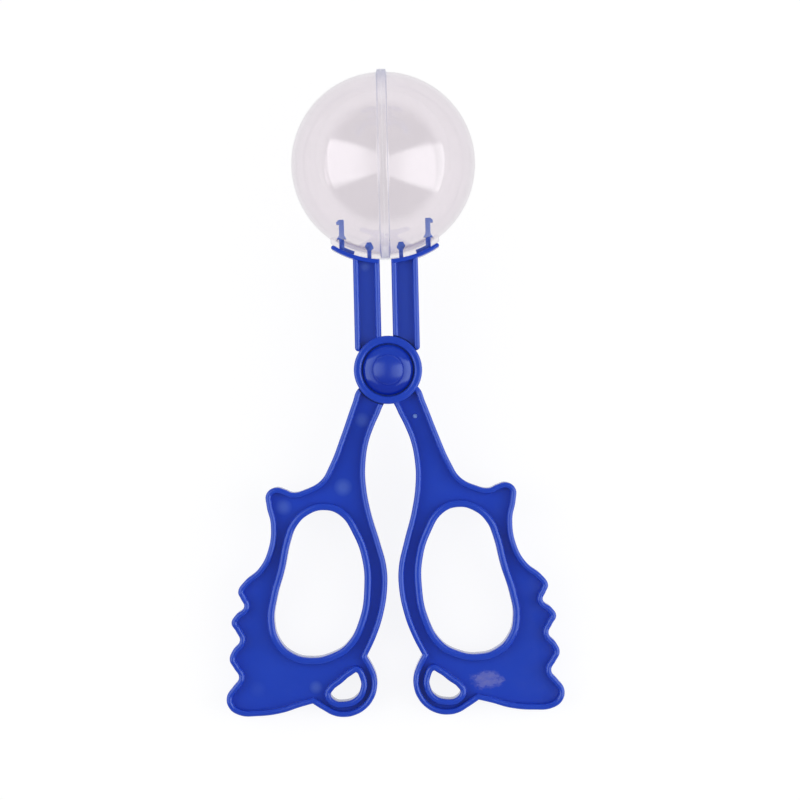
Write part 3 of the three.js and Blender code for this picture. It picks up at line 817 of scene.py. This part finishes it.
collar = under_ball(CRADLE_INNER, POST_AT) + POST_NECK
foot = under_ball(CRADLE_MIDDLE, POST_AT)
outer_post = flat_hook("outer_post", POST_AT, [
    (POST_HALF, foot), (POST_HALF, collar), (COLLAR_HALF, collar), (POST_HALF, collar + COLLAR_RISE),
    (POST_HALF, collar + TIP_END), (-POST_HALF, collar + TIP_END), (-TIP_REACH, collar + TIP_HIGH),
    (-TIP_REACH, collar + TIP_LOW), (-POST_HALF, collar + TIP_LOW), (-POST_HALF, collar + COLLAR_RISE),
    (-COLLAR_HALF, collar), (-POST_HALF, collar), (-POST_HALF, foot),
])
barb = under_ball(SHELL_INSIDE, HOOK_AT) + SEAT_GAP
foot = under_ball(CRADLE_MIDDLE, HOOK_AT)
inner_hook = flat_hook("inner_hook", HOOK_AT, [
    (HOOK_HALF, foot), (HOOK_HALF, barb), (BARB_HALF, barb + BARB_INNER_RISE), (HOOK_HALF, barb + BARB_END),
    (-HOOK_HALF, barb + BARB_END), (-BARB_HALF, barb + BARB_OUTER_RISE), (-HOOK_HALF, barb), (-HOOK_HALF, foot),
])
post_foot = curved_block("post_foot", CRADLE_INNER - FOOT_RISE, CRADLE_MIDDLE, HOOK_DEPTH, POST_AT,
                         POST_AT - FOOT_LENGTH, steps=8)
report(post_foot)

# %% [markdown]
# ## One arm, then two
# The pieces are joined into one moulding. Room is cut for the other arm's hub, and the jaw is trimmed to the
# cradle. Round ejector pins pushed the moulding out of its mould and left shallow discs on one face, and the gate
# where the melt came in left a speck on the other. The rear arm is the same moulding turned over, which is why the
# discs face the camera only on the left handle.

# %% Front arm
HUB_CORE = 10.3
MARK_DEPTH = 0.1
MARKS = [(16.2, -39.5, 3.4, -1, 0.22), (36.5, -45.8, 3, -1, 0.2), (27, -107.3, 2.5, -1, 0.2),
         (46.8, -107.5, 3, -1, 0.04), (9.2, -16.8, 2.8, -1, 0.2), (-7, 35.3, 1.9, 1, 0.3)]
MARK_CORE = 0.3
MARK_PALE_SHARE = 0.6
MARK_SLACK = 0.02
MARK_CLEAR = 1
GATE = (8.8, -15.9)
GATE_RADIUS = 0.8
GATE_SLACK = 0.05
# Paleness that is painted light: a painted glint on the gate speck, and painted light on the thin hooks and on the jaw
# webs.
GATE_PAINTED_GLINT = 1
HOOK_ZONE = 32.5
HOOK_PAINTED_LIGHT = 0.42
JAW_PAINTED_LIGHT = 0.09
ARM_SMOOTH = math.radians(32)


def ejector_mark(x, y, radius, side):
    """Cuts a shallow disc in the web's front (1) or back (-1), with an inner ring that its paleness fades from."""
    floor_height, clear_height = side * (HALF_WEB - MARK_DEPTH), side * (HALF_WEB + MARK_CLEAR)
    cutter = cylinder(radius, min(floor_height, clear_height), max(floor_height, clear_height), x, y, sides=48)
    edit(cutter)
    pick_faces(lambda place, normal: normal.z * side < -FACING)
    bpy.ops.mesh.inset(thickness=(1 - MARK_CORE) * radius * MM)
    leave()
    combine(front_arm, "DIFFERENCE", cutter)


front_arm = handle
front_arm.name = "front_arm_moulding"
combine(jaw, "DIFFERENCE", cylinder(CRADLE_MIDDLE, -PAST, PAST, y=BALL_HEIGHT, sides=256))
combine(front_arm, "UNION", jaw)
combine(front_arm, "DIFFERENCE", cylinder(HUB_CORE, -PAST, PAST))
combine(front_arm, "DIFFERENCE", cylinder(HUB_RADIUS + SWING_GAP, -PAST, HALF_LAP))
combine(front_arm, "UNION", hub, cradle, post_foot, outer_post, inner_hook)
for x, y, radius, side, paleness in MARKS:
    ejector_mark(x, y, radius, side)
bpy.ops.mesh.primitive_uv_sphere_add(segments=24, ring_count=16, radius=GATE_RADIUS * MM,
                                     location=(GATE[0] * MM, GATE[1] * MM, HALF_WEB * MM))
combine(front_arm, "UNION", settle(bpy.context.object))
pale = front_arm.data.attributes.new("paleness", "FLOAT", "POINT")
for corner in front_arm.data.vertices:
    x, y, z = corner.co / MM
    # Painted light: the jaw webs are made a little paler against the shade of their narrow recess.
    if x < -JAW_INNER and y > JAW_FOOT and abs(abs(z) - HALF_WEB) < MARK_DEPTH + MARK_SLACK:
        pale.data[corner.index].value = JAW_PAINTED_LIGHT
    for mark_x, mark_y, radius, side, paleness in MARKS:
        on_floor = abs(z - side * (HALF_WEB - MARK_DEPTH)) < MARK_SLACK
        if on_floor and math.dist((x, y), (mark_x, mark_y)) < MARK_PALE_SHARE * radius:
            pale.data[corner.index].value = paleness
    # Painted glint: the gate speck is made fully pale.
    if math.dist((x, y, z), (*GATE, HALF_WEB)) < GATE_RADIUS + GATE_SLACK and z > HALF_WEB + GATE_SLACK:
        pale.data[corner.index].value = GATE_PAINTED_GLINT
    # Painted light: the thin hooks are made paler, as light passing through them would make them.
    if math.dist((x, y), (0, BALL_HEIGHT)) < HOOK_ZONE:
        pale.data[corner.index].value = HOOK_PAINTED_LIGHT
report(front_arm)

# %% Rear arm and finish
only(front_arm)
bpy.ops.object.duplicate()
rear_arm = bpy.context.object
rear_arm.name = "rear_arm_moulding"
rear_arm.rotation_euler.y = math.pi
settle(rear_arm)
for arm, body, node in ((front_arm, "front_half", "front_arm"), (rear_arm, "rear_half", "rear_arm")):
    dress(arm, ARM_SMOOTH, blue_plastic, body, node)

# %% [markdown]
# ## Snap pin
# The pin's head has a rounded shoulder with a domed button on it, which is why it catches each softbox twice. Its
# other end is split and barbed to snap through the hubs. A profile is drawn vertex by vertex and spun about the
# pivot axis.

# %% Stepped pin
HEAD_RADIUS = 8.55
HEAD_SEAT = 2.5
SHOULDER_FOOT = 3.7
SHOULDER_TOP = 5.2
SHOULDER_ROUND = 1.15
BUTTON_RADIUS = 5.2
BUTTON_TOP = 6.7
PIN_RADIUS = 4
BARB_RADIUS = 4.9
BARB_EDGE = 0.6
PIN_END = -4.5
PIN_END_RADIUS = 3.4
PIN_SLOT = 1.7
PIN_STEPS = 96
PIN_WELD = 0.005
BUTTON_STEP = 5
BUTTON_SATIN = 0.4
# Share of painted shade on the pin at its top and at its bottom.
PIN_SHADE_ABOVE = 0.1
PIN_SHADE_BELOW = 0.95


def curve_through(start, handle_point, end, steps=8):
    """Points on a smooth bend from start to end that leaves towards a handle point."""
    shares = [i / steps for i in range(1, steps + 1)]
    return [tuple((1 - t) ** 2 * a + 2 * t * (1 - t) * b + t * t * c for a, b, c in zip(start, handle_point, end))
            for t in shares]


turns = [math.radians(angle) for angle in range(90 - BUTTON_STEP, 0, -BUTTON_STEP)]
button_rise = BUTTON_TOP - SHOULDER_TOP
button = [(BUTTON_RADIUS * math.sin(turn), SHOULDER_TOP + button_rise * math.cos(turn)) for turn in turns]
profile = [(0, PIN_END), (PIN_END_RADIUS, PIN_END), (BARB_RADIUS, -HEAD_SEAT - BARB_EDGE), (BARB_RADIUS, -HEAD_SEAT),
           (PIN_RADIUS, -HEAD_SEAT), (PIN_RADIUS, HEAD_SEAT), (HEAD_RADIUS, HEAD_SEAT), (HEAD_RADIUS, SHOULDER_FOOT)]
profile += curve_through((HEAD_RADIUS, SHOULDER_FOOT), (HEAD_RADIUS - SHOULDER_ROUND, SHOULDER_TOP),
                         (BUTTON_RADIUS, SHOULDER_TOP))
profile += button + [(0, BUTTON_TOP)]

bpy.ops.mesh.primitive_plane_add(size=1)
pin = bpy.context.object
pin.name = "pivot_pin_moulding"
edit(pin, "VERT")
bpy.ops.mesh.merge(type="CENTER")
bpy.ops.transform.translate(value=(0, 0, profile[0][1] * MM))
for (r0, z0), (r1, z1) in zip(profile, profile[1:]):
    bpy.ops.mesh.extrude_vertices_move(TRANSFORM_OT_translate={"value": ((r1 - r0) * MM, 0, (z1 - z0) * MM)})
bpy.ops.mesh.select_all(action="SELECT")
bpy.ops.mesh.spin(steps=PIN_STEPS, angle=2 * math.pi, center=(0, 0, 0), axis=(0, 0, 1))
bpy.ops.mesh.select_all(action="SELECT")
bpy.ops.mesh.remove_doubles(threshold=PIN_WELD * MM)
leave()
combine(pin, "DIFFERENCE", block((-PIN_SLOT / 2, -PAST, -PAST), (PIN_SLOT / 2, PAST, 0)))
# Painted shade on the pin: a little all over, growing towards its lower side.
pin.data.attributes.new("satin", "FLOAT", "POINT")
pin.data.attributes.new("pin_painted_shade", "FLOAT", "POINT")
for corner in pin.data.vertices:
    satin = BUTTON_SATIN if corner.co.z / MM > SHOULDER_TOP + ON_PLANE else 0
    below = 0.5 - corner.co.y / MM / (2 * HEAD_RADIUS)
    pin.data.attributes["satin"].data[corner.index].value = satin
    pin.data.attributes["pin_painted_shade"].data[corner.index].value = (
        PIN_SHADE_ABOVE + (PIN_SHADE_BELOW - PIN_SHADE_ABOVE) * below)
dress(pin, ARM_SMOOTH, blue_plastic, "rear_half", "pivot_pin")

# %% [markdown]
# ## Clear half balls
# Each half ball is a thin shell with a small flange round its mouth and a pad that sits on the cradle. A sphere is
# cut in half, a band at its edge is swollen into the flange, and the pad is joined on. The inside is then cut out
# with a smaller sphere, so that the wall is even, and a window is cut for the hooks. Two attributes then tell the
# clear material which faces are the ball's inside, its outside, the flange or the thicker plastic of the pad.

# %% Half ball
BALL_RADIUS = 31.3
FLANGE_REACH = 1
FLANGE_THICKNESS = 1.6
FLANGE_ROUND = 0.4
FLANGE_ZONE = 1
SIDEWAYS = 0.5
HALF_SPLIT = 0.03


def sphere(radius):
    """A fine sphere about the left half ball's middle, with its poles to the left and right."""
    bpy.ops.mesh.primitive_uv_sphere_add(
        segments=192, ring_count=128, radius=radius * MM,
        location=(-HALF_SPLIT * MM, BALL_HEIGHT * MM, 0), rotation=(0, math.pi / 2, 0))
    return settle(bpy.context.object)


half_ball = sphere(BALL_RADIUS)
half_ball.name = "left_half_ball"
edit(half_ball)
bpy.ops.mesh.bisect(plane_co=(-HALF_SPLIT * MM, 0, 0), plane_no=(1, 0, 0), clear_outer=True, use_fill=True)
bpy.ops.mesh.select_all(action="SELECT")
bpy.ops.mesh.bisect(plane_co=((-HALF_SPLIT - FLANGE_THICKNESS) * MM, 0, 0), plane_no=(1, 0, 0))
pick_faces(lambda place, normal: place.x > -HALF_SPLIT - FLANGE_THICKNESS and abs(normal.x) < SIDEWAYS)
bpy.ops.mesh.extrude_region_shrink_fatten(TRANSFORM_OT_shrink_fatten={"value": FLANGE_REACH * MM})
pick_edges(lambda end: -FLANGE_THICKNESS - FLANGE_ZONE < end.x < -FLANGE_ZONE)
round_over(FLANGE_ROUND, steps=4)
leave()
report(half_ball)

# %% Pad, hollow and window
PAD_RADIUS = 32.32
PAD_START = 0.1
PAD_REACH = 18.4
PAD_TOP = 45.5
PAD_PAST = 2
PAD_DEPTH = 10
WINDOW_HALF = 2.45
WINDOW_OUTER = 15.9
WINDOW_INNER = 4.35
WINDOW_LOW, WINDOW_HIGH = 36, 55
LEDGE_OUTER = 16.7
LEDGE_HEIGHT = 44.5
RAIL_RISE = 1.3
RAIL_WIDTH = 1.3
RAIL_SINK = 0.6
ON_BALL = 0.05
BALL_SMOOTH = math.radians(30)
INSIDE_SHARES = (0, 0)
OUTSIDE_SHARES = (1, 0.04)
FLANGE_SHARES = (0.93, 1)
PAD_SHARES = (0.5, 1)

pad = block((-PAD_REACH, BALL_HEIGHT - PAD_RADIUS - PAD_PAST, -PAD_DEPTH / 2), (-PAD_START, PAD_TOP, PAD_DEPTH / 2))
combine(pad, "INTERSECT", cylinder(PAD_RADIUS, -PAST, PAST, y=BALL_HEIGHT, sides=256))
combine(half_ball, "UNION", pad)
combine(half_ball, "DIFFERENCE", sphere(SHELL_INSIDE))
rails = curved_block("rails", SHELL_INSIDE - RAIL_RISE, BALL_RADIUS - RAIL_SINK, 2 * (WINDOW_HALF + RAIL_WIDTH),
                     POST_AT, HOOK_AT)
combine(half_ball, "UNION", rails)
window = block((-WINDOW_OUTER, WINDOW_LOW, -WINDOW_HALF), (-WINDOW_INNER, WINDOW_HIGH, WINDOW_HALF))
ledge = block((-LEDGE_OUTER, LEDGE_HEIGHT, -WINDOW_HALF), (-WINDOW_INNER, WINDOW_HIGH, WINDOW_HALF))
combine(half_ball, "DIFFERENCE", window, ledge)
half_ball.data.attributes.new("wall_share", "FLOAT", "FACE")
half_ball.data.attributes.new("solid_share", "FLOAT", "FACE")
for face in half_ball.data.polygons:
    middle = face.center / MM - Vector((-HALF_SPLIT, BALL_HEIGHT, 0))
    shares = PAD_SHARES
    if abs(middle.length - SHELL_INSIDE) < ON_BALL:
        shares = INSIDE_SHARES
    elif abs(middle.length - BALL_RADIUS) < ON_BALL:
        shares = OUTSIDE_SHARES
    elif middle.length > BALL_RADIUS and middle.x > -FLANGE_THICKNESS - FLANGE_ROUND:
        shares = FLANGE_SHARES
    for name, share in zip(("wall_share", "solid_share"), shares):
        half_ball.data.attributes[name].data[face.index].value = share
report(half_ball)

# %% Both half balls
only(half_ball)
bpy.ops.object.duplicate()
right_half_ball = bpy.context.object
right_half_ball.name = "right_half_ball"
right_half_ball.rotation_euler.y = math.pi
settle(right_half_ball)
for shell, body, node in ((half_ball, "front_half", "left_shell"), (right_half_ball, "rear_half", "right_shell")):
    dress(shell, BALL_SMOOTH, clear_plastic, body, node)
